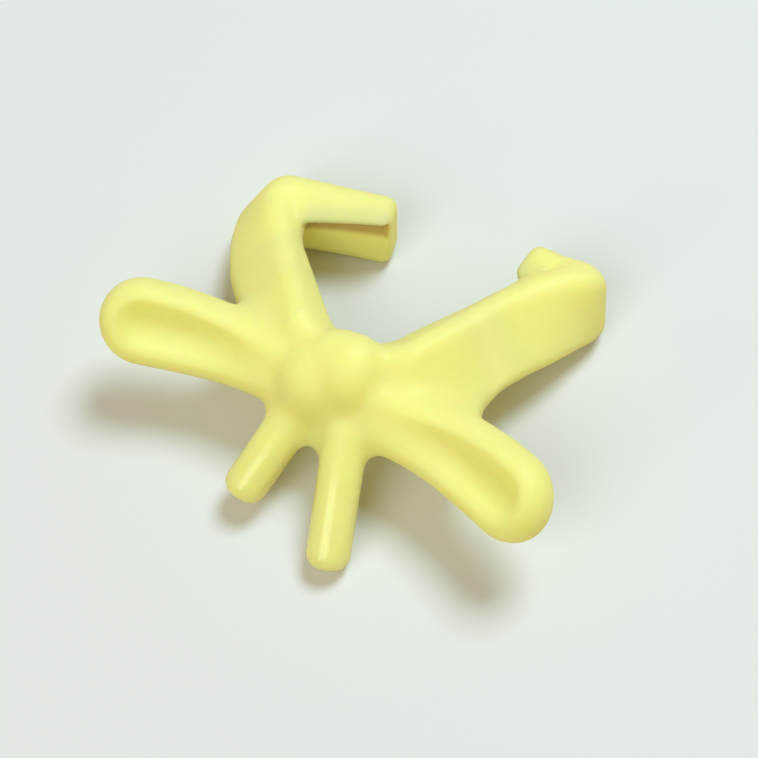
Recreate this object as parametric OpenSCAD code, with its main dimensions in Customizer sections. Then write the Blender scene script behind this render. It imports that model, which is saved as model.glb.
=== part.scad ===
// Clip-on bow for a small toy figure: a knotted bow with dished loops and two tails,
// carried on an open C-shaped snap band with two hooked clip ends.
// Millimetres, +Z up, resting on the table at z = 0, bow facing -Y.

/* [Bow] */

// Tilt of the bow's face off the table, in degrees
bow_tilt = 38; // [36:1:40]
// Middle of the bow to the centre of each loop's round end
loop_reach = 10; // [9.4:0.1:10.6]
// Half width of a loop where it leaves the knot
loop_root_half = 1.7; // [1.55:0.05:1.85]
// Half width of a loop at its round end
loop_end_half = 2.1; // [1.95:0.05:2.25]
// Thickness of a loop
loop_thick = 2; // [1.8:0.05:2.2]
// How far the round ends curl forward
loop_forward = 1.1; // [0.7:0.05:1.3]
// How far the round ends hang below the knot
loop_drop = 0.45; // [0.2:0.05:0.6]
// Share of a loop, from the knot, that is backed by the band
backed_share = 0.35; // [0.25:0.05:0.45]
// Depth of the dished hollow near the round end
dish_depth = 0.75; // [0.5:0.05:0.85]
// How far the hollow's floor lies towards the loop's upper edge, as a share of its half width
dish_shift = 0.35; // [0:0.05:0.45]
// Width of the rounded rim beside the hollow
rim_width = 0.85; // [0.7:0.05:1]

/* [Knot] */

// Half width of the knot between the loops
knot_half_w = 2.7; // [2.6:0.05:2.8]
// Middle of the left lobe, sideways from the bow's middle
left_lobe_x = -0.95; // [-1.05:0.05:-0.85]
// Middle of the left lobe above the loops' middle line
left_lobe_y = 0.2; // [0.1:0.05:0.3]
// Half width of the left lobe
left_lobe_w = 1.9; // [1.8:0.05:2]
// Half height of the left lobe
left_lobe_h = 2; // [1.9:0.05:2.1]
// Middle of the right lobe, sideways from the bow's middle
right_lobe_x = 0.85; // [0.75:0.05:0.95]
// Middle of the right lobe above the loops' middle line
right_lobe_y = 1.15; // [1.05:0.05:1.25]
// Half width of the right lobe
right_lobe_w = 1.75; // [1.65:0.05:1.85]
// Half height of the right lobe
right_lobe_h = 2.05; // [1.95:0.05:2.15]
// How far the lobes stand out from the bow's middle plane
lobe_proud = 1.8; // [1.7:0.05:1.9]
// Middle of the broad body behind the two lobes, above the loops' middle line
knot_body_y = 0.8; // [0.7:0.05:0.9]
// Half width of that body
knot_body_w = 1.9; // [1.8:0.05:2]
// Half height of that body
knot_body_h = 2.35; // [2.25:0.05:2.45]
// How far that body stands out from the bow's middle plane
knot_body_proud = 1.65; // [1.55:0.05:1.7]

/* [Tails] */

// Left tail, from its root to the centre of its round end
left_tail_len = 4.4; // [4:0.1:4.8]
// Right tail, from its root to the centre of its round end
right_tail_len = 5.8; // [5.5:0.1:6]
// Radius of a tail at its round end
tail_tip_r = 1.04; // [0.96:0.02:1.08]
// Radius of a tail at its root in the knot
tail_root_r = 1.12; // [1.08:0.02:1.14]
// Half the distance between the tails' roots
tail_root_x = 1.2; // [1.18:0.02:1.25]
// Splay of each tail away from the middle, in degrees
tail_splay = 14; // [12:0.5:16]
// Lift of the tails off the bow's face, in degrees
tail_lift = 7.5; // [6:0.5:9]

/* [Band] */

// Downward pitch of the band towards the clip ends, in degrees
band_pitch = 14.5; // [13:0.5:16]
// Band's middle line behind the knot's centre
band_back = 0.8; // [0.7:0.05:0.9]
// Band's middle line below the knot's centre
band_below = 0.2; // [0.1:0.05:0.3]
// Thickness of the strap behind the knot
root_thick = 1.9; // [1.7:0.05:2.1]
// Thickness of the springy arms
arm_thick = 1.75; // [1.6:0.05:1.9]
// Half thickness of the band at its corners, inward
corner_inner = 1.7; // [1.6:0.05:1.8]
// Thickness of the clip ends at their tips
tip_thick = 1.8; // [1.7:0.05:1.9]
// Height of the strap behind the knot, along its slant
root_high = 3.6; // [3.4:0.05:3.8]
// Height of the arms along their slant
arm_high = 4.25; // [4:0.05:4.5]
// Height of the band at its corners
corner_high = 4.25; // [4:0.05:4.5]
// Height of the clip ends
tip_high = 3.6; // [3.4:0.05:3.7]
// Inward lean of the strap behind the knot, in degrees
root_lean = 35; // [32:1:38]
// Inward lean of the arms, in degrees
arm_lean = 46; // [42:1:50]
// Rounding of the clip ends' outer edges
clip_round = 0.4; // [0.3:0.05:0.5]
// Depth of the hollow along the clip ends' inner walls
grip_hollow = 0.05; // [0:0.05:0.1]
// Depth of the grip groove under the clip ends' top edge
groove_depth = 0.24; // [0.14:0.02:0.28]

/* [Left side of the band] */

// Extra thickness where the arm flares into the bow
left_flare = 0.8; // [0.6:0.05:0.9]
// Inward lean of the corner, in degrees
left_corner_lean = 26; // [24:1:28]
// Inward lean of the tip, in degrees
left_tip_lean = 7; // [5:1:9]
// Half thickness of the corner, outward
left_corner_outer = 1.45; // [1.35:0.05:1.55]
// Bend at the bow, outward
left_bend_out = 2.35; // [2.15:0.05:2.55]
// Bend at the bow, backward
left_bend_back = 0.15; // [-0.05:0.05:0.35]
// Bow-out of the arm, outward
left_bow_out = 7.85; // [7.65:0.05:8.05]
// Bow-out of the arm, backward
left_bow_back = 5.4; // [5.2:0.05:5.6]
// Corner, outward
left_corner_out = 8.75; // [8.55:0.05:8.95]
// Corner, backward
left_corner_back = 8.3; // [8.1:0.05:8.5]
// Clip end's tip, outward
left_tip_out = 2.6; // [2.4:0.05:2.8]
// Clip end's tip, backward
left_tip_back = 9.95; // [9.75:0.05:10.15]
// Rise of the arm at its bow-out
left_arm_rise = -0.05; // [-0.15:0.05:0.05]
// Rise of the corner
left_corner_rise = 0.05; // [-0.05:0.05:0.15]
// Rise of the clip end's tip
left_tip_rise = -0.05; // [-0.05:0.05:0.1]

/* [Right side of the band] */

// Extra thickness where the arm flares into the bow
right_flare = 1; // [0.8:0.05:1.1]
// How far the arm's lower edge drops into the corner beside the loop
right_skirt = 1.1; // [0.9:0.05:1.2]
// Inward lean of the corner, in degrees
right_corner_lean = 14; // [12:1:16]
// Inward lean of the tip, in degrees
right_tip_lean = 20; // [18:1:22]
// Half thickness of the corner, outward
right_corner_outer = 1.6; // [1.5:0.05:1.7]
// Bend at the bow, outward
right_bend_out = 2.6; // [2.4:0.05:2.8]
// Bend at the bow, backward
right_bend_back = 0.85; // [0.65:0.05:1.05]
// Bow-out of the arm, outward
right_bow_out = 6.1; // [5.9:0.05:6.3]
// Bow-out of the arm, backward
right_bow_back = 6.35; // [6.15:0.05:6.55]
// Corner, outward
right_corner_out = 7.65; // [7.5:0.05:7.8]
// Corner, backward
right_corner_back = 10.2; // [10:0.05:10.4]
// Clip end's tip, outward
right_tip_out = 4.5; // [4.4:0.05:4.7]
// Clip end's tip, backward
right_tip_back = 10.7; // [10.6:0.05:10.8]
// Rise of the arm at its bow-out
right_arm_rise = 0.7; // [0.6:0.05:0.8]
// Rise of the corner
right_corner_rise = 0.35; // [0.25:0.05:0.45]
// Rise of the clip end's tip
right_tip_rise = 0.1; // [0.05:0.05:0.2]

/* [Flex lines] */

// Place of the flex line along each arm, from the bow's bend to the bow-out
flex_share = 0.5; // [0.45:0.01:0.52]
// Gap left at the flex line so that each arm turns freely
flex_gap = 0.02; // [0.01:0.01:0.05]

/* [Hidden] */

$fn = 48;

// Knot's centre above the table and in front of the part's middle
knot_up = 4.563;
knot_fwd = 2.68;
// Bow's back plane, where the band is fused on
back_z = -loop_thick / 2;
// Middle of the lobes in front of the bow's middle plane, and how softly lobes and loops run together
lobe_fwd = 0.15;
lobe_blend = 26;
// Middle of the knot's broad body, sideways
knot_body_x = -0.1;
// Share of the knot's half width taken by its soft shoulder
knot_shoulder = 0.6;
// Tails' roots inside the knot: below its centre, and in front of the bow's middle plane
tail_sink = 1.2;
tail_fwd = 0.15;
// Band's middle line behind the knot: how far back, and its rise there and at the bow's bend
front_back = 0.35;
front_rise = -0.25;
bend_rise = 0.2;
// Length of straight that each round bend takes up: at the bow, along the arm and at the corner
root_cut = 1.4;
bow_cut = 1.5;
corner_cut = 1.1;
// Least rounding of an edge at a tip, and share of the rounding drawn in there
least_round = 0.05;
tip_draw = 0.85;
// Share of the room inside the hooked corner that the band may fill
room_share = 0.85;
// Rounding of the strap's long edges behind the knot, at the bow's bend, on the arms and at the corners
root_round = 0.7;
bend_round = 0.8;
arm_round = 0.85;
corner_round = 1.2;
// Rounding of the clip ends' gripping edge
edge_round = 0.15;
// Grip groove: its distance under the top edge, its step, its flat and the fade below it
groove_drop = 0.05;
groove_step = 0.1;
groove_flat = 0.2;
groove_fade = 1.1;
// Trial points along the band's outer edge, to find where the bow's upper edge crosses it, and ring
// points gathered below that crossing
edge_trials = 24;
edge_steps = 6;
// Share of a clip end, from its corner, over which it settles to its own height and lean
left_settle = 0.9;
right_settle = 0.45;
// Where the dropped lower edge begins along the arm, and over how much of it
skirt_from = 1.85;
skirt_share = 0.6;
// Gap between the bow's upper edge and the band beside it, and the band's slope away from that edge
rim_gap = 0.08;
rim_slope = 1.6;
// Plastic colour
yellow = [0.93, 0.92, 0.5];

function mix(a, b, t) = a + (b - a) * t;
function ease(t) = let (c = min(max(t, 0), 1)) c * c * (3 - 2 * c);
function unit(a) = a / norm(a);
function turn_x(p, a) = [p.x, p.y * cos(a) - p.z * sin(a), p.y * sin(a) + p.z * cos(a)];

// A value read from a list of values at u = 0, 1, 2 ...
function along(list, u) = let (i = min(max(floor(u), 0), len(list) - 2)) mix(list[i], list[i + 1], u - i);

// Triangles of a closed skin over rings of points, without those that have shrunk to a line
function strip(a, b) = [for (k = [0:len(a) - 1]) let (j = (k + 1) % len(a))
    each [[a[k], a[j], b[k]], [a[j], b[j], b[k]]]];
function whole(t) = t[0] != t[1] && t[1] != t[2] && t[2] != t[0];
function middle(ring) = [for (p = ring) 1] * ring / len(ring);
// Flat end over a ring, as triangles round its middle point c
function cap(ring, c) = [for (k = [0:len(ring) - 1]) [c, ring[k], ring[(k + 1) % len(ring)]]];
function backwards(list) = [for (k = [len(list) - 1:-1:0]) list[k]];

// Solid through a list of rings with the same number of points
module loft(rings) {
    m = len(rings[0]);
    ids = [for (r = [0:len(rings) - 1]) [for (k = [0:m - 1]) r * m + k]];
    sides = [for (r = [0:len(rings) - 2]) each strip(ids[r], ids[r + 1])];
    last = len(rings) - 1;
    pts = concat([for (r = rings) each r], [middle(rings[0]), middle(rings[last])]);
    n = m * len(rings);
    polyhedron(pts, concat(sides, cap(backwards(ids[0]), n), cap(ids[last], n + 1)));
}

module bow_frame() {
    translate([0, -knot_fwd, knot_up]) rotate([bow_tilt, 0, 0]) children();
}

module band_frame() {
    translate([0, band_back - knot_fwd, knot_up - band_below]) rotate([-band_pitch, 0, 0]) children();
}

function band_to_bow(p) =
    turn_x([0, band_back, -band_below], -bow_tilt) + turn_x(p, -bow_tilt - band_pitch);

// Half profile of a loop, from the hollow's middle over the rim to the back: [sideways, out]
front_steps = 7;
rim_steps = 8;
back_steps = 3;
function loop_front(half, d, a, side) = [for (k = [0:front_steps - 1]) let (t = k / front_steps)
    [t * (half - rim_width), loop_thick / 2 - d * dish_share(side * t * cos(a), t * sin(a))]];
// Depth share of the hollow, w across the loop and f ahead of its end's centre
function dish_share(w, f) = let (o = w - dish_shift, room = o > 0 ? 1 - dish_shift : 1 + dish_shift)
    1 - ease(norm([o / room, f]));
function loop_rim(half) = [for (k = [0:rim_steps]) let (a = 90 - 180 * k / rim_steps)
    [half - rim_width + rim_width * cos(a), loop_thick / 2 * sin(a)]];
function loop_back(half) = [for (k = [1:back_steps]) [(half - rim_width) * (1 - k / back_steps), back_z]];
function half_profile(half, d, a, side) =
    concat(loop_front(half, d, a, side), loop_rim(half), loop_back(half));

// Middle line of a loop and its slope in the bow's frame
function loop_curl(s) = pow(max(0, s - backed_share) / (1 - backed_share), 1.6);
function loop_sag(s) = loop_drop * (1.6 * s * (1 - s) - s);
function loop_mid(s) = [mix(knot_half_w, loop_reach, s), loop_sag(s), loop_forward * loop_curl(s)];
function loop_slope(s) = let (d = loop_mid(s + 0.01) - loop_mid(s - 0.01)) s < 0.05 ? 0 : atan(d.z / d.x);
function loop_half(s) = mix(loop_root_half, loop_end_half, ease(s));
function loop_dish(s) = dish_depth * ease((s - 0.1) / 0.9);

// One ring of a loop: the half profile on both sides of the middle line, fanned out by angle a at the end
function loop_ring(s, a) = let (
        up = half_profile(loop_half(s), loop_dish(s), a, 1), n = len(up), t = loop_slope(s), c = loop_mid(s),
        down = half_profile(loop_half(s), loop_dish(s), a, -1),
        both = concat([for (q = up) concat(q, [1])], [for (k = [n - 2:-1:1]) concat(down[k], [-1])]))
    [for (p = both) let (f = p.x * sin(a), w = p.z * p.x * cos(a))
        [c.x + f * cos(t) - p.y * sin(t), c.y + w, max(back_z, c.z + f * sin(t) + p.y * cos(t))]];

// Loop as rings from the knot to the end's centre, then a fan round the end
module loop() {
    stations = 14;
    fan = 9;
    rings = concat(
        [for (k = [0:stations]) loop_ring(k / stations, 0)],
        [for (k = [1:fan]) loop_ring(1, 90 * k / fan)]);
    m = len(rings[0]);
    n = (m + 2) / 2;
    last = len(rings) - 1;
    // fanned rings share the end's centre points, and the last ring's two sides are one
    function id(r, k) = r > stations && (k == 0 || k == n - 1) ? stations * m + k :
        r == last && k > n - 1 ? r * m + m - k : r * m + k;
    ids = [for (r = [0:last]) [for (k = [0:m - 1]) id(r, k)]];
    sides = [for (r = [0:last - 1]) each [for (t = strip(ids[r], ids[r + 1])) if (whole(t)) t]];
    pts = concat([for (r = rings) each r], [middle(rings[0])]);
    polyhedron(pts, concat(sides, cap(backwards(ids[0]), len(pts) - 1)));
}

// Largest of some lengths, running softly from one to the next
function soft_max(list) = pow([for (a = list) 1] * [for (a = list) pow(a, lobe_blend)], 1 / lobe_blend);
// Reach of a lobe from the bow's middle line at x, in direction a of the section: 0 where it is missed
function lobe_reach(x, a, m, half) = let (
        k = 1 - pow((x - m.x) / half.x, 2), c = cos(a) / half.y, z = sin(a) / half.z,
        o = [m.y / half.y, m.z / half.z], d = c * c + z * z, e = c * o.x + z * o.y,
        room = e * e - d * (o * o - k))
    room > 0 ? max(0, (e + sqrt(room)) / d) : 0;
lobe_deep = lobe_proud - lobe_fwd;
function lump(x, a, root) = let (
        l = lobe_reach(x, a, [left_lobe_x, left_lobe_y, lobe_fwd], [left_lobe_w, left_lobe_h, lobe_deep]),
        r = lobe_reach(x, a, [right_lobe_x, right_lobe_y, lobe_fwd], [right_lobe_w, right_lobe_h, lobe_deep]),
        m = lobe_reach(x, a, [knot_body_x, knot_body_y, lobe_fwd],
            [knot_body_w, knot_body_h, knot_body_proud - lobe_fwd]))
    soft_max([root, l, r, m]);
// Knot: the loops' root outline swelling into two soft lobes
function knot_ring(q) = let (x = knot_half_w * sin(q), m = ease((1 - abs(sin(q))) / knot_shoulder))
    [for (p = loop_ring(0, 0)) let (a = atan2(p.z, p.y), r = lump(x, a, norm([p.y, p.z])))
        [x, mix(p.y, r * cos(a), m), max(back_z, mix(p.z, r * sin(a), m))]];

module tail(side, length) {
    bow_frame() translate([side * tail_root_x, -tail_sink, tail_fwd])
        rotate([90 - tail_lift, 0, side * tail_splay]) {
        cylinder(h = length, r1 = tail_root_r, r2 = tail_tip_r);
        translate([0, 0, length]) sphere(r = tail_tip_r);
    }
}

// Band's middle line on one side as [outward, backward, u], u counting the bends: 0 front, 4 tip
front = [0, front_back];
cuts = [root_cut, bow_cut, corner_cut];
// Round bend at corner i, always turning towards the inside of the band
function soft_bend(p, i) = let (
        d = unit(p[i] - p[i - 1]), n = [-d.y, d.x], r = bend_radius(p, i),
        from = p[i] - d * cuts[i - 1], steps = 8)
    [for (k = [0:steps]) let (t = k / steps, a = turn_at(p, i) * t)
        concat(from + d * r * sin(a) + n * r * (1 - cos(a)), [mix(bend_in(p, i), bend_out(p, i), t)])];
// Angle turned at corner i, and the bend's radius there
function turn_at(p, i) = let (a = heading(p, i - 1), b = heading(p, i)) acos(unit(a) * unit(b));
function bend_radius(p, i) = cuts[i - 1] / tan(turn_at(p, i) / 2);
left_line = [front, [left_bend_out, left_bend_back], [left_bow_out, left_bow_back],
    [left_corner_out, left_corner_back], [left_tip_out, left_tip_back]];
right_line = [front, [right_bend_out, right_bend_back], [right_bow_out, right_bow_back],
    [right_corner_out, right_corner_back], [right_tip_out, right_tip_back]];
function line_at(p, u) = let (i = min(floor(u), len(p) - 2)) concat(mix(p[i], p[i + 1], u - i), [u]);
// Stations spread along a straight from u = a to u = b, both ends left out
function straight(p, a, b, n = 3) = [for (k = [1:n]) line_at(p, mix(a, b, k / (n + 1)))];
// Where the soft bend at corner i begins and ends, as u
function bend_in(p, i) = i - cuts[i - 1] / norm(p[i] - p[i - 1]);
function bend_out(p, i) = i + cuts[i - 1] / norm(p[i + 1] - p[i]);
// Joins between the pieces: the flex line, and the straight before the corner
flex_u = 1 + flex_share;
corner_u = 2.56;

// Band's section at u = 0 to 4: half thickness outward and inward, slanted height, lean, rise, rounding
function out_list(flare, corner) =
    [root_thick / 2, arm_thick / 2 + flare, arm_thick / 2, corner, tip_thick / 2];
in_list = [root_thick / 2, arm_thick / 2, arm_thick / 2, corner_inner, tip_thick / 2];
high_list = [root_high, mix(root_high, arm_high, 0.75), arm_high, corner_high, tip_high];
function lean_list(corner, tip) = [root_lean, mix(root_lean, arm_lean, 0.5), arm_lean, corner, tip];
round_list = [root_round, bend_round, arm_round, corner_round, clip_round];
left_rise = [front_rise, bend_rise, left_arm_rise, left_corner_rise, left_tip_rise];
right_rise = [front_rise, bend_rise, right_arm_rise, right_corner_rise, right_tip_rise];
// One side of the band: its line, rise, half thickness outward, lean, the drop of its lower edge and the
// share of its clip end over which that settles to one height and lean
left_side = [left_line, left_rise, out_list(left_flare, left_corner_outer),
    lean_list(left_corner_lean, left_tip_lean), 0, left_settle];
right_side = [right_line, right_rise, out_list(right_flare, right_corner_outer),
    lean_list(right_corner_lean, right_tip_lean), right_skirt, right_settle];
function settled(v, u) = u < 3 ? u : 3 + min(1, (u - 3) / v[5]);

// Room on the inside of the band before the far side of the hooked corner is met
function inner_room(p, q) =
    room_share * max(bend_radius(p, 3), norm([q.x, q.y] - p[3]) / tan(turn_at(p, 3) / 2));

// Place of a section's point: across and up in the leaning section at q, heading along d
function section_point(v, q, d, c) = let (
        lean = along(v[3], settled(v, q[2])), n = c.x * cos(lean) - c.y * sin(lean))
    [q.x + d.y * max(-inner_room(v[0], q), n), q.y - d.x * max(-inner_room(v[0], q), n),
        along(v[1], q[2]) + c.x * sin(lean) + c.y * cos(lean)];
// Point of a section's outer edge, from the foot of its face up and over the rounded top edge
function outer_edge(wo, low, h, r, t) = let (
        face = h - low - 2 * r, s = t * (face + r * PI / 2), a = (s - face) / r * 180 / PI)
    s < face ? [wo, low + r + s] : [wo - r + r * cos(a), h - r + r * sin(a)];
// Shares of that edge at which the ring has points: even, or gathered where the bow's edge crosses it
function even_edge(low, h, r) = let (face = h - low - 2 * r, t = face / (face + r * PI / 2))
    concat([t / 2], [for (k = [0:4]) mix(t, 1, k / 4)]);
function gathered_edge(f) = let (
        n = len(f) - 1,
        hit = [for (k = [0:n - 1]) if (f[k] <= 0 && f[k + 1] > 0) k + f[k] / (f[k] - f[k + 1])],
        t = min(max(len(hit) > 0 ? hit[0] / n : f[0] > 0 ? 0 : 1, 0.08), 0.92))
    concat([for (k = [edge_steps - 1:-1:0]) t * (1 - pow((k + 0.5) / edge_steps, 2) + 0.5 / n / n)],
        [for (k = [1:2 * edge_steps]) mix(t, 1, pow(k / 2 / edge_steps, 1.6))]);
// Section ring round a point of side v's line, heading along d, drawn in by inset at a rounded end
function band_ring(v, q, d, inset = 0, follow = false) = let (
        u = q[2], wo = along(v[2], u) - inset,
        wi = along(in_list, u) - grip_hollow * sin(180 * max(0, u - 3)) - inset,
        h = along(high_list, settled(v, u)) / 2 - inset,
        r = max(least_round, along(round_list, u) - inset),
        e = mix(r, min(r, edge_round), ease((u - 2.9) / 0.4)),
        low = -h - v[4] * ease((skirt_from - u) / skirt_share) * ease(u / 0.9),
        g = groove_depth * ease((u - 3.2) / 0.15), gt = h - e - groove_drop,
        gb = gt - groove_step - groove_flat,
        arc = [for (k = [0:4]) [cos(90 * k / 4), sin(90 * k / 4)]],
        trial = [for (k = [0:follow ? edge_trials : 0]) let (
                w = band_to_bow(section_point(v, q, d, outer_edge(wo, low, h, r, k / edge_trials))))
            w.y - bow_top(w.x) - rim_gap],
        shape = concat(
            [for (c = arc) [e - wi - e * c.y, h - e + e * c.x]],
            [[-wi, gt], [g - wi, gt - groove_step], [g - wi, gb], [-wi, gb - groove_fade]],
            [for (c = arc) [r - wi - r * c.x, low + r - r * c.y]],
            [for (c = arc) [wo - r + r * c.y, low + r - r * c.x]],
            [for (t = follow ? gathered_edge(trial) : even_edge(low, h, r)) outer_edge(wo, low, h, r, t)]))
    [for (c = shape) section_point(v, q, d, c)];

// Rings of a stretch of the middle line given as points [outward, backward, u]
function band_rings(v, pts, first, last, follow = false) = [for (k = [0:len(pts) - 1])
    let (a = k == 0 ? first : pts[k] - pts[k - 1], b = k == len(pts) - 1 ? last : pts[k + 1] - pts[k],
        d = unit([a.x, a.y]) + unit([b.x, b.y]))
    band_ring(v, pts[k], unit(d), 0, follow)];

function heading(p, i) = p[i + 1] - p[i];
// Point at u moved along its straight by s
function nudge(p, u, s) = line_at(p, u + s / norm(heading(p, floor(u))));

function front_rings(v) = let (p = v[0], f = nudge(p, flex_u, -flex_gap))
    band_rings(v, concat([concat(front, [0])], soft_bend(p, 1), straight(p, bend_out(p, 1), f[2]), [f]),
        [1, 0], heading(p, 1), true);

// Upper outline of the bow at x: the loop's edge, or the lobe that stands above it
function lobe_top(x, m, y, w, h) = y + h * sqrt(max(0, 1 - pow((x - m) / w, 2)));
function bow_top(x) = let (s = min(max((abs(x) - knot_half_w) / (loop_reach - knot_half_w), 0), 1))
    soft_max([loop_mid(s).y + loop_half(s), lobe_top(x, left_lobe_x, left_lobe_y, left_lobe_w, left_lobe_h),
        lobe_top(x, right_lobe_x, right_lobe_y, right_lobe_w, right_lobe_h),
        lobe_top(x, knot_body_x, knot_body_y, knot_body_w, knot_body_h)]);
// How far forward the band may stand: flat behind the bow, round behind its upper edge, sloping beyond it
function band_front_limit(x, y) = let (t = (y - bow_top(x) - rim_gap) / (rim_width + rim_gap) + 1)
    t < 0 ? back_z : t < 1 ? -rim_gap - (loop_thick / 2 - rim_gap) * sqrt(1 - t * t)
        : (t - 1) * rim_slope - rim_gap;

module band_front_solid() {
    l = front_rings(left_side);
    r = front_rings(right_side);
    rings = concat([for (k = [len(l) - 1:-1:1]) [for (q = l[k]) [-q.x, q.y, q.z]]], r);
    loft([for (ring = rings) [for (q = ring) let (w = band_to_bow(q))
        [w.x, w.y, min(w.z, band_front_limit(w.x, w.y))]]]);
}

module arm(v) {
    p = v[0];
    join = line_at(p, corner_u);
    pts = concat([line_at(p, flex_u)], straight(p, flex_u, bend_in(p, 2)), soft_bend(p, 2), [join]);
    band_frame() loft(band_rings(v, pts, heading(p, 1), heading(p, 2)));
}

// Hooked end: round the corner, then a straight with a rounded tip
module clip_end(v) {
    p = v[0];
    d = unit(heading(p, 3));
    tip = [for (a = [0:22.5:90]) let (q = nudge(p, 3.9999, -clip_round * (1 - sin(a))))
        band_ring(v, q, d, clip_round * (1 - cos(a)) * tip_draw)];
    lead = concat([line_at(p, corner_u)], straight(p, corner_u, bend_in(p, 3), 2));
    hook = concat(lead, soft_bend(p, 3), straight(p, bend_out(p, 3), 3.9, 6));
    body = band_rings(v, hook, heading(p, 2), heading(p, 3));
    band_frame() loft(concat(body, tip));
}

module knot() {
    color(yellow) difference() {
        bow_frame() loft([for (q = [-90:7.5:90]) knot_ring(q)]);
        tail(-1, left_tail_len);
        tail(1, right_tail_len);
    }
}

module left_loop() {
    color(yellow) mirror([1, 0, 0]) bow_frame() loop();
}

module right_loop() {
    color(yellow) bow_frame() loop();
}

module left_tail() {
    color(yellow) tail(-1, left_tail_len);
}

module right_tail() {
    color(yellow) tail(1, right_tail_len);
}

module band_front() {
    color(yellow) bow_frame() band_front_solid();
}

module left_arm() {
    color(yellow) mirror([1, 0, 0]) arm(left_side);
}

module right_arm() {
    color(yellow) arm(right_side);
}

module left_clip_end() {
    color(yellow) mirror([1, 0, 0]) clip_end(left_side);
}

module right_clip_end() {
    color(yellow) clip_end(right_side);
}

knot();
left_loop();
right_loop();
left_tail();
right_tail();
band_front();
left_arm();
right_arm();
left_clip_end();
right_clip_end();
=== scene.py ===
"""Clip-on bow for a small toy figure: one soft yellow moulding, a knotted bow on an open snap band."""

import math

import bmesh
import bpy
from mathutils import Matrix, Vector


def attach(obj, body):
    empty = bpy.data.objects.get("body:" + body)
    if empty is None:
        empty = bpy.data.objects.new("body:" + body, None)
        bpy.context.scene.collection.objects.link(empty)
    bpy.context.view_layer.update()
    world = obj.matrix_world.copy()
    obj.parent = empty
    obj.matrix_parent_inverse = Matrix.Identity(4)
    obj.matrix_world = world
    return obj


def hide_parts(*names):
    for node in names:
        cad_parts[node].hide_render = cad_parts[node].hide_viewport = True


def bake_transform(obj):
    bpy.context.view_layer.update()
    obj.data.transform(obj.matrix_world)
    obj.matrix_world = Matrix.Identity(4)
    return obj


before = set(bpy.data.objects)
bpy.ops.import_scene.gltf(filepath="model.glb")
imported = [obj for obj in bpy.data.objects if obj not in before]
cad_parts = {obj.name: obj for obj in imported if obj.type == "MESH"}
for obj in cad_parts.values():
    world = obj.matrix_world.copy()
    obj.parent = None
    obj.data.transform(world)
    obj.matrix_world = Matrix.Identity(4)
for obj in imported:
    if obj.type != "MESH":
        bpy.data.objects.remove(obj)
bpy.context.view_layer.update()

MM = 0.001

# Bow, in millimetres and degrees
BOW_TILT = 38.0
KNOT_UP = 4.563
KNOT_FWD = 2.68
LOOP_REACH = 9.97
LOOP_ROOT_HALF = 1.76
LOOP_END_HALF = 2.21
LOOP_THICK = 2.0
LOOP_FORWARD = 1.1
LOOP_LOW = 0.12
LOOP_DROP = {-1: 0.36, 1: 0.5}
LOOP_START = 2.7
LOOP_BURIED = 0.25
LOOP_ARCH = 1.6
BACKED_SHARE = 0.35
CURL_POWER = 1.6
CURL_FROM = 0.05
DISH_DEPTH = 0.68
DISH_FROM = 0.02
DISH_SHARE = 0.75
DISH_SHIFT = 0.35
RIM_WIDTH = 0.93
RIM_SQUARE = 2.05
WIDEST_AT = -0.6
DISH_FLOOR = 0.42
KNOT_LOBES = {
    "left": ((-0.95, 0.2, 0.15), (1.85, 2.0, 1.7)),
    "right": ((0.6, 1.2, 0.15), (1.7, 2.05, 1.66)),
    "middle": ((-0.1, 0.8, 0.1), (1.9, 2.35, 1.6)),
}
TAIL_ROOT_X = {"left": 1.2, "right": 1.32}
TAIL_ROOT_Y = -1.2
TAIL_ROOT_Z = 0.15
TAIL_SPLAY = 14.0
TAIL_LIFT = 7.5
TAIL_LENGTH = {"left": 4.4, "right": 5.8}
TAIL_ROOT_R = 1.1
TAIL_TIP_R = 1.1
TAIL_END_ROUND = 0.72
TAIL_POINT_R = 0.02

# Band: sizes at the front, the bow's bend, the arm's bow-out, the corner and the tip
BAND_PITCH = 14.5
BAND_BACK = 0.8
BAND_BELOW = 0.2
BAND_OUT = {
    "left": (0.95, 1.7, 0.9, 1.36, 0.8),
    "right": (0.95, 1.9, 0.875, 1.35, 0.9),
}
BAND_IN = (0.95, 1.05, 1.1, 1.78, 1.12)
BAND_HIGH = (3.6, 4.1, 4.25, 4.25, 3.6)
BAND_LEAN = {
    "left": (35.0, 40.5, 46.0, 26.0, 7.0),
    "right": (35.0, 40.5, 46.0, 4.0, 20.0),
}
CORNER_TURN = {"left": 1.0, "right": 2.0}
BAND_ROUND = {
    "left": (0.7, 0.8, 0.85, 1.2, 0.4),
    "right": (0.7, 0.8, 0.85, 1.2, 0.5),
}
CORNER_SQUARE = {"left": 0.0, "right": 0.5}
CORNER_SHARE = 0.32
LEAST_ROUND = 0.08
EDGE_ROUND = 0.28
EDGE_FROM_U = 2.9
EDGE_SHARE = 0.4
FOOT_ROUND = {"left": 0.9, "right": 0.6}
SKIRT_DEEP = {"left": 0.0, "right": 1.1}
SKIRT_FROM_U = 1.8
SKIRT_SHARE = 0.6
SKIRT_START = 0.9
CLIP_SETTLES = {"left": 0.9, "right": 0.45}
END_ROUND = 0.55
END_TAPER = 0.85
BAND_CUTS = (1.4, 1.5, 1.1)
BAND_START = (-0.6, 0.35)
SIDES = {
    "left": ((0, 0.35), (2.35, 0.15), (7.85, 5.4), (8.75, 8.3), (2.6, 9.95)),
    "right": ((0, 0.35), (2.6, 0.85), (6.1, 6.35), (7.6, 10.2), (4.6, 10.7)),
}
RISES = {
    "left": (-0.25, 0.2, -0.05, 0.1, 0.0),
    "right": (-0.25, 0.25, 0.8, 0.48, 0.3),
}
GRIP_HOLLOW = 0.05

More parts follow.
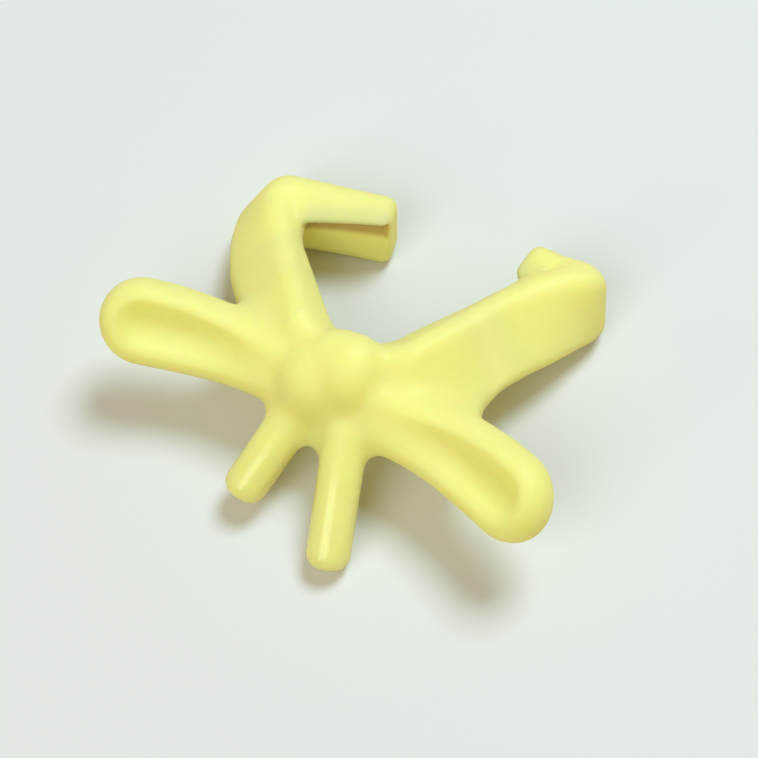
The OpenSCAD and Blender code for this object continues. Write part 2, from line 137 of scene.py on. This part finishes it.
# Groove in a clip end's inner wall: its depth by distance below the top edge, and how it fades out
GROOVE_PROFILE = ((0.22, 0.0), (0.38, 0.8), (0.62, 0.84), (0.92, 0.52), (2.9, 0.0))
GROOVE_U = (3.05, 4.2)
GROOVE_FADE_U = 0.25
GROOVE_TIP_FADE = 0.5
GROOVE_FRONT = 0.5
GROOVE_FRONT_FADE = 0.4
GROOVE_BACK = 0.5
LOWER_WALL = 1.3
LOWER_BACK = 1.2
FINE_WALL_U = (3.0, 4.05)
FINE_WALL_NEAR = 0.6
FINE_WALL_BELOW = (-0.15, 0.9)
# Painted shade in the groove under a clip's lip: the sink at which the wall is fully darkened, and where the
# darkening fades out below and towards the front
CREASE_DEPTH = 0.2
CREASE_LOW = 1.72
CREASE_LOW_FADE = 0.5
CREASE_FRONT = 0.4
CREASE_FRONT_FADE = 0.3

# Where the arms part from the bow, and where their bends end
PARTING_U = {"left": 1.64, "right": 1.7}
BEND_END_U = {"left": 1.94, "right": 2.0}
CUT_REACH = 2.7
CUT_NEAR = 0.4
GLOW_FADE = 1.5
GLOW_REACH = 4.5

# Moulding: how finely the skin is made, and how far its inner corners are filled
SKIN_GRID = 0.1
FINE_GRID = 0.085
SOFT_FILLET = 0.95
FILLET = 0.57
CLIP_FILLET = 0.15
SOFT_END_U = 2.25
FIRM_END_U = 2.5
WEB_U = (1.05, 1.47)
WEB_LOOP = (0.1, 0.78)
WEB_THICK = 2.0
WEB_SEAT_UP = 0.55
WEB_SEAT_FWD = 0.3

# How finely the bodies are drawn
LOOP_STEPS = 34
LOOP_END_STEPS = 14
LOOP_LAST_TURN = 89.5
LOOP_ACROSS = 24
SLOPE_STEP = 0.01
TAIL_STEPS = 12
TAIL_END_STEPS = 9
TAIL_END_PART = 9.02  # a little over the steps, so that the last ring does not close up
TAIL_RING = 32
STATION_GAP = 0.35
BEND_STEPS = 12
CLIP_STEPS = 14
ROUND_STEPS = 8
LOWER_OUTER_POINT = 31  # in the band's outline, the middle of its lower outer corner
TIP_STEPS = 7
TIP_U_STEP = 0.001
WEB_STEPS = 12
WEB_RING = 24

# Looks
POLISH_FROM = 2.6
POLISH_SHARE = 1.6
PLASTIC_DEEP = (0.945, 0.918, 0.32, 1)
PLASTIC_PALE = (0.968, 0.945, 0.36, 1)
# painted shade: the brown that darkens the groove under a clip's lip
PAINTED_GROOVE_SHADE = (0.6, 0.47, 0.16, 1)
FLOOR_SEEN = (0.78, 0.815, 0.865, 1)
FLOOR_BOUNCE = (0.70, 0.64, 0.50, 1)
ROOM_TINT = (1.0, 0.78, 0.42, 1)
ROOM_STRENGTH = 0.33
LAMPS = (
    # name, place in metres, size, power, tint
    ("overhead", (0.05, 0.155, 0.3), 0.14, 0.7, (0.84, 1.0, 1.07)),
    ("front", (-0.02, -0.22, 0.28), 0.25, 0.4, (0.96, 1.0, 0.9)),
    ("low", (-0.104, -0.338, 0.164), 0.05, 0.07, (1.0, 1.0, 0.92)),
)

# Camera: found from the outlines of the loops, tails and band
VIEW_YAW = -40.544
VIEW_DROP = 63.036
VIEW_ROLL = -12.824
VIEW_FOCAL_PX = 1929.0
VIEW_SCALE_PX = 21.12
VIEW_SENSOR_MM = 36.0
KNOT_PX = (332.23, 392.38)
FRAME_PX = 758.0


def mix(a, b, t):
    return a + (b - a) * t


def ease(t):
    t = min(max(t, 0.0), 1.0)
    return t * t * (3 - 2 * t)


def along(values, u):
    """A value read smoothly from values at u = 0, 1, 2 ..."""
    i = min(max(int(u), 0), len(values) - 2)
    return mix(values[i], values[i + 1], u - i)


def settled(u, side):
    """Reaches the tip's value early, so that a clip end keeps one height and lean along its length."""
    return u if u < 3 else 3 + min(1.0, (u - 3) / CLIP_SETTLES[side])


def lean_at(side, u):
    """How far the strap leans back; it keeps its slant along the arm and stands up in the corner."""
    u = settled(u, side)
    if 2 < u < 3:
        u = 2 + (u - 2) ** CORNER_TURN[side]
    return math.radians(along(BAND_LEAN[side], u))


def bow_point(p):
    """A point of the bow's own frame, set in the part's frame."""
    return Matrix.Rotation(math.radians(BOW_TILT), 3, "X") @ Vector(p) + Vector((0, -KNOT_FWD, KNOT_UP))


def band_point(p):
    """A point of the band's own frame, set in the part's frame."""
    turn = Matrix.Rotation(math.radians(-BAND_PITCH), 3, "X")
    return turn @ Vector(p) + Vector((0, BAND_BACK - KNOT_FWD, KNOT_UP - BAND_BELOW))


def deselect():
    if bpy.context.object and bpy.context.object.mode != "OBJECT":
        bpy.ops.object.mode_set(mode="OBJECT")
    bpy.ops.object.select_all(action="DESELECT")


def activate(body):
    deselect()
    body.select_set(True)
    bpy.context.view_layer.objects.active = body


def set_outline(body, section):
    """Moves the selected end face's corners to a section's points."""
    mesh = bmesh.from_edit_mesh(body.data)
    face = next(f for f in mesh.faces if f.select)
    for corner, place in zip(face.verts, section):
        corner.co = place
    bmesh.update_edit_mesh(body.data)


def extrude_sections(name, sections):
    """A closed body: a filled outline, extruded from section to section."""
    deselect()
    bpy.ops.mesh.primitive_circle_add(vertices=len(sections[0]), radius=1, fill_type="NGON")
    body = bpy.context.object
    body.name = name
    bpy.ops.object.mode_set(mode="EDIT")
    bpy.ops.mesh.select_all(action="SELECT")
    set_outline(body, sections[0])
    for section in sections[1:]:
        bpy.ops.mesh.extrude_region_move()
        set_outline(body, section)
    bpy.ops.mesh.select_all(action="SELECT")
    bpy.ops.mesh.normals_make_consistent(inside=False)
    bpy.ops.object.mode_set(mode="OBJECT")
    return body


def add_modifier(body, kind, **settings):
    activate(body)
    tool = body.modifiers.new(kind.title(), kind)
    for key, value in settings.items():
        setattr(tool, key, value)
    bpy.ops.object.modifier_apply(modifier=tool.name)


def loop_middle(s, side):
    """Middle line of a loop in the bow's frame, s = 0 at the knot and 1 at the round end's centre."""
    curl = (max(0.0, s - BACKED_SHARE) / (1 - BACKED_SHARE)) ** CURL_POWER
    sag = LOOP_DROP[side] * (LOOP_ARCH * s * (1 - s) - s) - LOOP_LOW
    return Vector((mix(LOOP_START, LOOP_REACH, s), sag, LOOP_FORWARD * curl))


def loop_section(s, ahead, side):
    """Outline across a loop, ahead of its end's centre by that much once past it."""
    half = mix(LOOP_ROOT_HALF, LOOP_END_HALF, ease(s))
    wide = math.sqrt(max(0.0, half * half - ahead * ahead))
    dish = DISH_DEPTH * ease((s - DISH_FROM) / DISH_SHARE)
    middle = loop_middle(s, side)
    slope = 0.0
    if s > CURL_FROM:
        d = loop_middle(s + SLOPE_STEP, side) - loop_middle(s - SLOPE_STEP, side)
        slope = math.atan2(d.z, d.x)
    points = []
    for face in (1, -1):
        for k in range(LOOP_ACROSS):
            w = wide * math.cos(math.pi * k / LOOP_ACROSS) * face
            r = math.hypot(w, ahead)
            rim = max(0.0, r - (half - RIM_WIDTH)) / RIM_WIDTH
            rise = max(0.0, 1 - rim ** RIM_SQUARE) ** (1 / RIM_SQUARE)
            z = LOOP_THICK / 2 * mix(WIDEST_AT, face, rise)
            if face > 0:
                z -= dish * dish_shape(w, ahead, half - RIM_WIDTH)
            x = middle.x + ahead * math.cos(slope) - z * math.sin(slope)
            y = middle.y + w
            up = middle.z + ahead * math.sin(slope) + z * math.cos(slope)
            points.append(bow_point((side * x, y, up)))
    return points


def dish_shape(w, ahead, half):
    """Depth share of a loop's hollow, whose floor lies nearer to its upper wall."""
    off = w - DISH_SHIFT * half
    room = half * (1 - DISH_SHIFT if off > 0 else 1 + DISH_SHIFT)
    return 1 - ease((math.hypot(off / room, ahead / half) - DISH_FLOOR) / (1 - DISH_FLOOR))


def make_loop(name, side):
    shares = [-LOOP_BURIED + (1 + LOOP_BURIED) * k / LOOP_STEPS for k in range(LOOP_STEPS + 1)]
    sections = [loop_section(s, 0.0, side) for s in shares]
    turns = [90 * k / LOOP_END_STEPS for k in range(1, LOOP_END_STEPS)] + [LOOP_LAST_TURN]
    sections += [loop_section(1.0, LOOP_END_HALF * math.sin(math.radians(a)), side) for a in turns]
    return extrude_sections(name, sections)


def make_lobe(side):
    """One rounded half of the knot; the right one sits higher than the left."""
    deselect()
    bpy.ops.mesh.primitive_uv_sphere_add(segments=48, ring_count=32, radius=1)
    lobe = bpy.context.object
    lobe.name = side + "_lobe"
    middle, half = KNOT_LOBES[side]
    bpy.ops.object.mode_set(mode="EDIT")
    bpy.ops.mesh.select_all(action="SELECT")
    bpy.ops.transform.resize(value=half)
    bpy.ops.transform.translate(value=middle)
    bpy.ops.object.mode_set(mode="OBJECT")
    for corner in lobe.data.vertices:
        corner.co = bow_point(corner.co)
    return lobe


def make_tail(name, side):
    """A round tail with a blunt, rounded end."""
    length = TAIL_LENGTH[name]
    turn = Matrix.Rotation(math.radians(side * TAIL_SPLAY), 3, "Z")
    turn = turn @ Matrix.Rotation(math.radians(90 - TAIL_LIFT), 3, "X")
    root = Vector((side * TAIL_ROOT_X[name], TAIL_ROOT_Y, TAIL_ROOT_Z))
    full = length + TAIL_TIP_R - TAIL_END_ROUND
    places = [(full * k / TAIL_STEPS, mix(TAIL_ROOT_R, TAIL_TIP_R, k / TAIL_STEPS))
              for k in range(TAIL_STEPS + 1)]
    for k in range(1, TAIL_END_STEPS + 1):
        a = math.radians(90 * k / TAIL_END_PART)
        places.append((full + TAIL_END_ROUND * math.sin(a), TAIL_TIP_R - TAIL_END_ROUND * (1 - math.cos(a))))
    places.append((full + TAIL_END_ROUND, TAIL_POINT_R))
    turns = [math.tau * k / TAIL_RING for k in range(TAIL_RING)]
    sections = []
    for z, r in places:
        ring = [(r * math.cos(a), r * math.sin(a), z) for a in turns]
        sections.append([bow_point(turn @ Vector(p) + root) for p in ring])
    return extrude_sections(name + "_tail_rod", sections)


def bend_at(line, i):
    """Angle turned at a bend of the band's line, and the bend's radius."""
    a = (line[i] - line[i - 1]).normalized()
    b = (line[i + 1] - line[i]).normalized()
    turn = math.acos(a.dot(b))
    return turn, BAND_CUTS[i - 1] / math.tan(turn / 2)


def band_stations(side):
    """Points of the band's line as (place, heading, u), from the front to the tip."""
    line = [Vector(p) for p in SIDES[side]]
    out = []
    u_from = 0.0
    for i in (1, 2, 3):
        before, after = (line[i] - line[i - 1]), (line[i + 1] - line[i])
        u_in = i - BAND_CUTS[i - 1] / before.length
        u_out = i + BAND_CUTS[i - 1] / after.length
        count = max(2, round((u_in - u_from) * before.length / STATION_GAP))
        for k in range(count):
            u = mix(u_from, u_in, k / count)
            out.append((mix(line[i - 1], line[i], u - i + 1), before.normalized(), u))
        turn, radius = bend_at(line, i)
        d = before.normalized()
        n = Vector((-d.y, d.x))
        start = line[i] - d * BAND_CUTS[i - 1]
        for k in range(BEND_STEPS):
            a = turn * k / BEND_STEPS
            place = start + d * radius * math.sin(a) + n * radius * (1 - math.cos(a))
            out.append((place, d * math.cos(a) + n * math.sin(a), mix(u_in, u_out, k / BEND_STEPS)))
        u_from = u_out
    last = line[4] - line[3]
    round_in = END_ROUND / last.length
    for k in range(CLIP_STEPS + 1):
        u = mix(u_from, 4 - round_in, k / CLIP_STEPS)
        out.append((mix(line[3], line[4], u - 3), last.normalized(), u))
    return out


def band_section(place, heading, u, side, inset=0.0):
    """Outline across the band: a leaning, rounded strap."""
    flip = -1 if side == "left" else 1
    out = Vector((heading.y, -heading.x))
    wo = along(BAND_OUT[side], u) + CORNER_SQUARE[side] * ease(1 - abs(u - 3) / CORNER_SHARE) - inset
    wi = along(BAND_IN, u) - GRIP_HOLLOW * math.sin(math.pi * max(0.0, u - 3)) - inset
    high = along(BAND_HIGH, settled(u, side)) / 2 - inset
    lean = lean_at(side, u)
    lift = along(RISES[side], u)
    r = max(LEAST_ROUND, along(BAND_ROUND[side], u) - inset)
    edge = mix(r, min(r, EDGE_ROUND), ease((u - EDGE_FROM_U) / EDGE_SHARE))
    low = -high - SKIRT_DEEP[side] * ease((SKIRT_FROM_U - u) / SKIRT_SHARE) * ease(u / SKIRT_START)
    foot = min(r, FOOT_ROUND[side])
    corners = ((wo - r, high - r, r), (edge - wi, high - edge, edge),
               (foot - wi, low + foot, foot), (wo - foot, low + foot, foot))
    points = []
    for quarter, (a0, b0, bend) in enumerate(corners):
        for k in range(ROUND_STEPS + 1):
            angle = math.radians(90 * (quarter + k / ROUND_STEPS))
            a, b = a0 + bend * math.cos(angle), b0 + bend * math.sin(angle)
            n = a * math.cos(lean) - b * math.sin(lean)
            z = lift + a * math.sin(lean) + b * math.cos(lean)
            points.append(band_point((flip * (place.x + out.x * n), place.y + out.y * n, z)))
    return points


def make_band_side(side, last_u=4.0):
    """One side of the band, from a little past its middle to the tip or to last_u."""
    stations = [station for station in band_stations(side) if station[2] <= last_u]
    sections = [band_section(p, d, u, side) for p, d, u in stations]
    place, heading, u = stations[-1]
    u = min(u + TIP_U_STEP, 4.0)
    for k in range(1, TIP_STEPS + 1):
        a = math.radians(90 * k / TIP_STEPS)
        ahead = place + heading * END_ROUND * math.sin(a)
        sections.append(band_section(ahead, heading, u, side, END_TAPER * END_ROUND * (1 - math.cos(a))))
    # the two sides share material behind the knot
    sections.insert(0, band_section(Vector(BAND_START), Vector((1, 0)), 0.0, side))
    return extrude_sections(side + "_strap", sections)


def make_web():
    """The wall that fills the corner between the right loop and its arm."""
    turns = [math.tau * k / WEB_RING for k in range(WEB_RING)]
    sections = []
    for k in range(WEB_STEPS + 1):
        s = k / WEB_STEPS
        u = mix(WEB_U[0], WEB_U[1], s)
        heading = strap_place("right", u)[1]
        low = band_edge("right", u)
        root = loop_middle(mix(WEB_LOOP[0], WEB_LOOP[1], s), 1)
        high = bow_point(root + Vector((0, LOOP_ROOT_HALF * WEB_SEAT_UP, WEB_SEAT_FWD)))
        across = (high - low).normalized()
        thick = heading.cross(across).normalized() * WEB_THICK / 2
        middle, reach = (low + high) / 2, (high - low) / 2
        sections.append([middle + reach * math.cos(a) + thick * math.sin(a) for a in turns])
    return extrude_sections("right_web", sections)


def fuse(name, bodies, fillet):
    """One moulded skin over all the bodies, with its inner corners filled."""
    deselect()
    for body in bodies:
        body.select_set(True)
    bpy.context.view_layer.objects.active = bodies[0]
    bpy.ops.object.join()
    skin = bpy.context.object
    skin.name = name
    add_modifier(skin, "REMESH", mode="VOXEL", voxel_size=SKIN_GRID)
    add_modifier(skin, "SMOOTH", factor=0.5, iterations=2)
    add_modifier(skin, "DISPLACE", strength=fillet, mid_level=0.0)
    add_modifier(skin, "REMESH", mode="VOXEL", voxel_size=SKIN_GRID)
    add_modifier(skin, "SMOOTH", factor=0.5, iterations=4)
    add_modifier(skin, "DISPLACE", strength=-fillet, mid_level=0.0)
    add_modifier(skin, "REMESH", mode="VOXEL", voxel_size=FINE_GRID)
    add_modifier(skin, "SMOOTH", factor=0.5, iterations=8)
    return skin


def band_edge(side, u):
    """A point on the strap's lower outer edge."""
    line = [Vector(p) for p in SIDES[side]]
    i = int(u)
    d = (line[i + 1] - line[i]).normalized()
    outline = band_section(mix(line[i], line[i + 1], u - i), d, u, side)
    return outline[LOWER_OUTER_POINT]


def clip_place(side, point):
    """A point's place on a clip end: along it, into its inner wall, below its top face; and the way out."""
    line = [Vector(p) for p in SIDES[side]]
    way = line[4] - line[3]
    heading = way.normalized()
    out = Vector((heading.y, -heading.x))
    p = Matrix.Rotation(math.radians(BAND_PITCH), 3, "X") @ (point - band_point((0, 0, 0)))
    from_corner = Vector(((-1 if side == "left" else 1) * p.x, p.y)) - line[3]
    u = 3 + from_corner.dot(heading) / way.length
    lean = lean_at(side, u)
    n, z = from_corner.dot(out), p.z - along(RISES[side], min(u, 4.0))
    a, b = n * math.cos(lean) + z * math.sin(lean), z * math.cos(lean) - n * math.sin(lean)
    outward = Vector((out.x * math.cos(lean), out.y * math.cos(lean), math.sin(lean)))
    off = a + along(BAND_IN, min(max(u, 3.0), 4.0))
    below = along(BAND_HIGH, settled(u, side)) / 2 - b
    return u, off, below, outward


def groove_depth(below):
    """How far a clip end's inner wall lies back at a distance below its top edge."""
    for (x0, y0), (x1, y1) in zip(GROOVE_PROFILE, GROOVE_PROFILE[1:]):
        if x0 <= below <= x1:
            return mix(y0, y1, (below - x0) / (x1 - x0))
    return 0.0


def refine_clip_wall(skin, side):
    """Gives a clip end's inner wall a finer mesh along its top edge."""
    activate(skin)
    bpy.ops.object.mode_set(mode="EDIT")
    bpy.ops.mesh.select_mode(type="FACE")
    bpy.ops.mesh.select_all(action="DESELECT")
    mesh = bmesh.from_edit_mesh(skin.data)
    for face in mesh.faces:
        u, off, below, outward = clip_place(side, face.calc_center_median())
        along_clip = FINE_WALL_U[0] < u < FINE_WALL_U[1]
        under_edge = FINE_WALL_BELOW[0] < below < FINE_WALL_BELOW[1]
        face.select_set(along_clip and abs(off) < FINE_WALL_NEAR and under_edge)
    bmesh.update_edit_mesh(skin.data)
    bpy.ops.mesh.subdivide(number_cuts=2)
    bpy.ops.object.mode_set(mode="OBJECT")


def clip_groove(skin, side):
    """Sinks a groove into a clip end's inner wall, right under its top edge, over a leaning wall, and marks
    painted shade in it, darkest under the lip.
    """
    refine_clip_wall(skin, side)
    flip = -1 if side == "left" else 1
    length = (Vector(SIDES[side][4]) - Vector(SIDES[side][3])).length
    groove_shade = skin.data.attributes.get("groove_shade") or skin.data.attributes.new("groove_shade", "FLOAT", "POINT")
    for n, corner in enumerate(skin.data.vertices):
        u, off, below, outward = clip_place(side, corner.co)
        back = GROOVE_BACK if below < LOWER_WALL else LOWER_BACK
        if not (GROOVE_U[0] < u < GROOVE_U[1] and -GROOVE_FRONT < off < back):
            continue
        sink = groove_depth(below) * ease((u - GROOVE_U[0]) / GROOVE_FADE_U)
        sink *= ease((4.0 - u) * length / GROOVE_TIP_FADE)
        sink *= ease((off + GROOVE_FRONT) / GROOVE_FRONT_FADE)
        # painted shade: the wall is darkened where the groove sinks under the lip, fading out lower down and
        # towards the front
        tint = ease(sink / CREASE_DEPTH) * ease((CREASE_LOW - below) / CREASE_LOW_FADE)
        groove_shade.data[n].value = tint * ease((off + CREASE_FRONT) / CREASE_FRONT_FADE)
        move = outward * sink * (1 if below < LOWER_WALL else ease((LOWER_BACK - off) / LOWER_BACK))
        corner.co += band_point((flip * move.x, move.y, move.z)) - band_point((0, 0, 0))


def strap_place(side, u):
    """Middle of the strap at u and its heading, in the part's frame."""
    line = [Vector(p) for p in SIDES[side]]
    flip = -1 if side == "left" else 1
    i = int(u)
    d = (line[i + 1] - line[i]).normalized()
    p = mix(line[i], line[i + 1], u - i)
    here = band_point((flip * p.x, p.y, along(RISES[side], u)))
    there = band_point((flip * (p.x + d.x), p.y + d.y, along(RISES[side], u)))
    return here, (there - here).normalized()


def cut_arm_off(skin, side):
    """Parts the skin across one strap."""
    here, heading = strap_place(side, PARTING_U[side])
    activate(skin)
    bpy.ops.object.mode_set(mode="EDIT")
    bpy.ops.mesh.select_mode(type="FACE")
    bpy.ops.mesh.select_all(action="DESELECT")
    mesh = bmesh.from_edit_mesh(skin.data)
    for face in mesh.faces:
        way = face.calc_center_median() - here
        face.select_set(way.length < CUT_REACH and abs(way.dot(heading)) < CUT_NEAR)
    bmesh.update_edit_mesh(skin.data)
    bpy.ops.mesh.select_mode(type="EDGE")
    bpy.ops.mesh.bisect(plane_co=here, plane_no=heading)
    bpy.ops.mesh.edge_split(type="EDGE")
    bpy.ops.object.mode_set(mode="OBJECT")


def close_ends(body):
    """Fills the open parting faces of a piece."""
    activate(body)
    bpy.ops.object.mode_set(mode="EDIT")
    bpy.ops.mesh.select_mode(type="EDGE")
    bpy.ops.mesh.select_all(action="DESELECT")
    bpy.ops.mesh.select_non_manifold()
    bpy.ops.mesh.fill()
    bpy.ops.mesh.select_all(action="SELECT")
    bpy.ops.mesh.normals_make_consistent(inside=False)
    bpy.ops.object.mode_set(mode="OBJECT")


def keep_whole_normals(piece, whole):
    """Shades a piece as it is shaded in the whole skin, so that no line shows where it was parted."""
    add_modifier(piece, "DATA_TRANSFER", object=whole, use_loop_data=True, data_types_loops={"CUSTOM_NORMAL"},
                 loop_mapping="POLYINTERP_NEAREST")


def mark_depth(piece):
    """Writes how far each point is from a parting face, so that the plastic's glow fades out there."""
    faces = [strap_place(side, PARTING_U[side]) for side in ("left", "right")]
    depth = piece.data.attributes.new("parting_depth", "FLOAT", "POINT")
    for n, corner in enumerate(piece.data.vertices):
        far = GLOW_FADE
        for here, heading in faces:
            way = corner.co - here
            if way.length < GLOW_REACH:
                far = min(far, abs(way.dot(heading)))
        depth.data[n].value = ease(far / GLOW_FADE)


def mark_polish(piece):
    """Writes how far down the tails each point lies; their ends are rubbed smoother than the rest."""
    polish = piece.data.attributes.new("polish", "FLOAT", "POINT")
    middle = bow_point((0, 0, 0))
    down = bow_point((0, -1, 0)) - middle
    for n, corner in enumerate(piece.data.vertices):
        reach = (corner.co - middle).dot(down)
        polish.data[n].value = ease((reach - POLISH_FROM) / POLISH_SHARE)


def middle_x(body):
    return sum(v.co.x for v in body.data.vertices) / len(body.data.vertices)


def part_moulding(skin):
    """The bow and its two arms as three pieces of the one moulding, in metres."""
    activate(skin)
    bpy.ops.object.shade_smooth()
    bpy.ops.object.duplicate()
    whole = bpy.context.object
    cut_arm_off(skin, "left")
    cut_arm_off(skin, "right")
    activate(skin)
    bpy.ops.object.mode_set(mode="EDIT")
    bpy.ops.mesh.select_all(action="SELECT")
    bpy.ops.mesh.separate(type="LOOSE")
    bpy.ops.object.mode_set(mode="OBJECT")
    found = sorted(bpy.context.selected_objects, key=middle_x)
    pieces = dict(zip(("left_band_arm", "bow", "right_band_arm"), found))
    for name, piece in pieces.items():
        piece.name = name
        close_ends(piece)
        keep_whole_normals(piece, whole)
        mark_depth(piece)
        mark_polish(piece)
        piece.data.transform(Matrix.Scale(MM, 4))
    bpy.data.objects.remove(whole)
    return pieces


def make_moulding():
    """Soft corners where the band meets the bow, firmer ones at knot and tails, tight ones at the clips."""
    flat = [make_loop("left_loop_body", -1), make_loop("right_loop_body", 1), make_web()]
    flat += [make_band_side("left", SOFT_END_U), make_band_side("right", SOFT_END_U)]
    bodies = [fuse("bow_body", flat, SOFT_FILLET)]
    bodies += [make_lobe("left"), make_lobe("right"), make_lobe("middle")]
    bodies += [make_tail("left", -1), make_tail("right", 1)]
    bodies += [make_band_side("left", FIRM_END_U), make_band_side("right", FIRM_END_U)]
    bodies = [fuse("knotted_body", bodies, FILLET), make_band_side("left"), make_band_side("right")]
    skin = fuse("moulding", bodies, CLIP_FILLET)
    clip_groove(skin, "left")
    clip_groove(skin, "right")
    return part_moulding(skin)


def yellow_plastic():
    """Soft, slightly see-through yellow plastic with a low sheen, and painted shade in the clip grooves."""
    material = bpy.data.materials.new("yellow_plastic")
    material.use_nodes = True
    nodes, links = material.node_tree.nodes, material.node_tree.links
    shader = nodes["Principled BSDF"]
    shader.inputs["Subsurface Radius"].default_value = (1.0, 0.7, 0.15)
    shader.inputs["Subsurface Scale"].default_value = 0.002
    shader.inputs["Specular IOR Level"].default_value = 0.3
    shader.inputs["Coat Roughness"].default_value = 0.14
    depth = nodes.new("ShaderNodeAttribute")
    depth.attribute_name = "parting_depth"
    glow = nodes.new("ShaderNodeMapRange")
    glow.inputs["To Max"].default_value = 0.9
    links.new(depth.outputs["Fac"], glow.inputs["Value"])
    links.new(glow.outputs["Result"], shader.inputs["Subsurface Weight"])
    polish = nodes.new("ShaderNodeAttribute")
    polish.attribute_name = "polish"
    links.new(polish.outputs["Fac"], shader.inputs["Coat Weight"])
    place = nodes.new("ShaderNodeTexCoord")
    cloud = nodes.new("ShaderNodeTexNoise")
    cloud.inputs["Scale"].default_value = 260.0
    cloud.inputs["Detail"].default_value = 4.0
    tint = nodes.new("ShaderNodeValToRGB")
    tint.color_ramp.elements[0].position = 0.3
    tint.color_ramp.elements[0].color = PLASTIC_DEEP
    tint.color_ramp.elements[1].position = 0.7
    tint.color_ramp.elements[1].color = PLASTIC_PALE
    links.new(place.outputs["Object"], cloud.inputs["Vector"])
    links.new(cloud.outputs["Fac"], tint.inputs["Fac"])
    # painted shade in the groove under each clip's lip, mixed over the plastic's colour
    groove_shade = nodes.new("ShaderNodeAttribute")
    groove_shade.attribute_name = "groove_shade"
    groove_shade_mix = nodes.new("ShaderNodeMix")
    groove_shade_mix.data_type = "RGBA"
    groove_shade_mix.inputs["B"].default_value = PAINTED_GROOVE_SHADE
    links.new(groove_shade.outputs["Fac"], groove_shade_mix.inputs["Factor"])
    links.new(tint.outputs["Color"], groove_shade_mix.inputs["A"])
    links.new(groove_shade_mix.outputs["Result"], shader.inputs["Base Color"])
    gloss = nodes.new("ShaderNodeMapRange")
    gloss.inputs["To Min"].default_value = 0.42
    gloss.inputs["To Max"].default_value = 0.54
    links.new(cloud.outputs["Fac"], gloss.inputs["Value"])
    links.new(gloss.outputs["Result"], shader.inputs["Roughness"])
    grain = nodes.new("ShaderNodeTexNoise")
    grain.inputs["Scale"].default_value = 4200.0
    grain.inputs["Detail"].default_value = 3.0
    bump = nodes.new("ShaderNodeBump")
    bump.inputs["Strength"].default_value = 0.06
    bump.inputs["Distance"].default_value = 0.0001
    links.new(place.outputs["Object"], grain.inputs["Vector"])
    links.new(grain.outputs["Fac"], bump.inputs["Height"])
    links.new(bump.outputs["Normal"], shader.inputs["Normal"])
    return material


def dress(pieces, material):
    """Colours the pieces, sets the bow on its body, bakes the arms in place and hides the solids that they
    stand for.
    """
    for piece in pieces.values():
        piece.data.materials.clear()
        piece.data.materials.append(material)
    bow = pieces["bow"]
    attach(bow, "bow")
    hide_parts("knot", "left_loop", "right_loop", "left_tail", "right_tail", "band_front")
    for side in ("left", "right"):
        arm = pieces[side + "_band_arm"]
        start, heading = strap_place(side, PARTING_U[side])
        end, heading = strap_place(side, BEND_END_U[side])
        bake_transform(arm)
        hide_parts(side + "_arm", side + "_clip_end")


def pale_floor():
    """A pale cloth; it throws a warmer light back at the object than the pale tone that is seen."""
    deselect()
    bpy.ops.mesh.primitive_plane_add(size=2.0)
    floor = bpy.context.object
    floor.name = "floor"
    material = bpy.data.materials.new("pale_cloth")
    material.use_nodes = True
    nodes, links = material.node_tree.nodes, material.node_tree.links
    shader = nodes["Principled BSDF"]
    path = nodes.new("ShaderNodeLightPath")
    seen = nodes.new("ShaderNodeMix")
    seen.data_type = "RGBA"
    seen.inputs["A"].default_value = FLOOR_BOUNCE
    seen.inputs["B"].default_value = FLOOR_SEEN
    links.new(path.outputs["Is Camera Ray"], seen.inputs["Factor"])
    links.new(seen.outputs["Result"], shader.inputs["Base Color"])
    shader.inputs["Roughness"].default_value = 0.95
    shader.inputs["Specular IOR Level"].default_value = 0.1
    floor.data.materials.append(material)


def studio_light():
    """Soft lamps above, in front and low at the left, in a warm room."""
    world = bpy.data.worlds.new("soft_room")
    bpy.context.scene.world = world
    world.use_nodes = True
    sky = world.node_tree.nodes["Background"]
    sky.inputs["Color"].default_value = ROOM_TINT
    sky.inputs["Strength"].default_value = ROOM_STRENGTH
    for name, place, size, power, tint in LAMPS:
        lamp = bpy.data.lights.new(name, "AREA")
        lamp.shape = "DISK"
        lamp.size = size
        lamp.energy = power
        lamp.color = tint
        holder = bpy.data.objects.new(name, lamp)
        bpy.context.scene.collection.objects.link(holder)
        holder.location = place
        holder.rotation_euler = (-Vector(place)).to_track_quat("-Z", "Y").to_euler()


def set_camera():
    """The knot's centre at its place in the picture, seen from above and turned as photographed."""
    e = math.radians(VIEW_DROP)
    down = Matrix(((1, 0, 0), (0, -math.sin(e), -math.cos(e)), (0, math.cos(e), -math.sin(e))))
    roll = Matrix.Rotation(math.radians(VIEW_ROLL), 3, "Z")
    turn = roll @ down @ Matrix.Rotation(math.radians(VIEW_YAW), 3, "Z")
    far = VIEW_FOCAL_PX / VIEW_SCALE_PX
    offset = Vector(((KNOT_PX[0] - FRAME_PX / 2) * far / VIEW_FOCAL_PX,
                     (KNOT_PX[1] - FRAME_PX / 2) * far / VIEW_FOCAL_PX, far))
    place = (Vector((0, -KNOT_FWD, KNOT_UP)) - turn.transposed() @ offset) * MM
    axes = Matrix((turn[0], -turn[1], -turn[2])).transposed()
    lens = bpy.data.cameras.new("camera")
    lens.sensor_width = VIEW_SENSOR_MM
    lens.lens = VIEW_FOCAL_PX / FRAME_PX * VIEW_SENSOR_MM
    lens.clip_start = 0.001
    holder = bpy.data.objects.new("camera", lens)
    bpy.context.scene.collection.objects.link(holder)
    holder.matrix_world = Matrix.Translation(place) @ axes.to_4x4()
    bpy.context.scene.camera = holder


bpy.context.scene.view_settings.view_transform = "Standard"
dress(make_moulding(), yellow_plastic())
pale_floor()
studio_light()
set_camera()
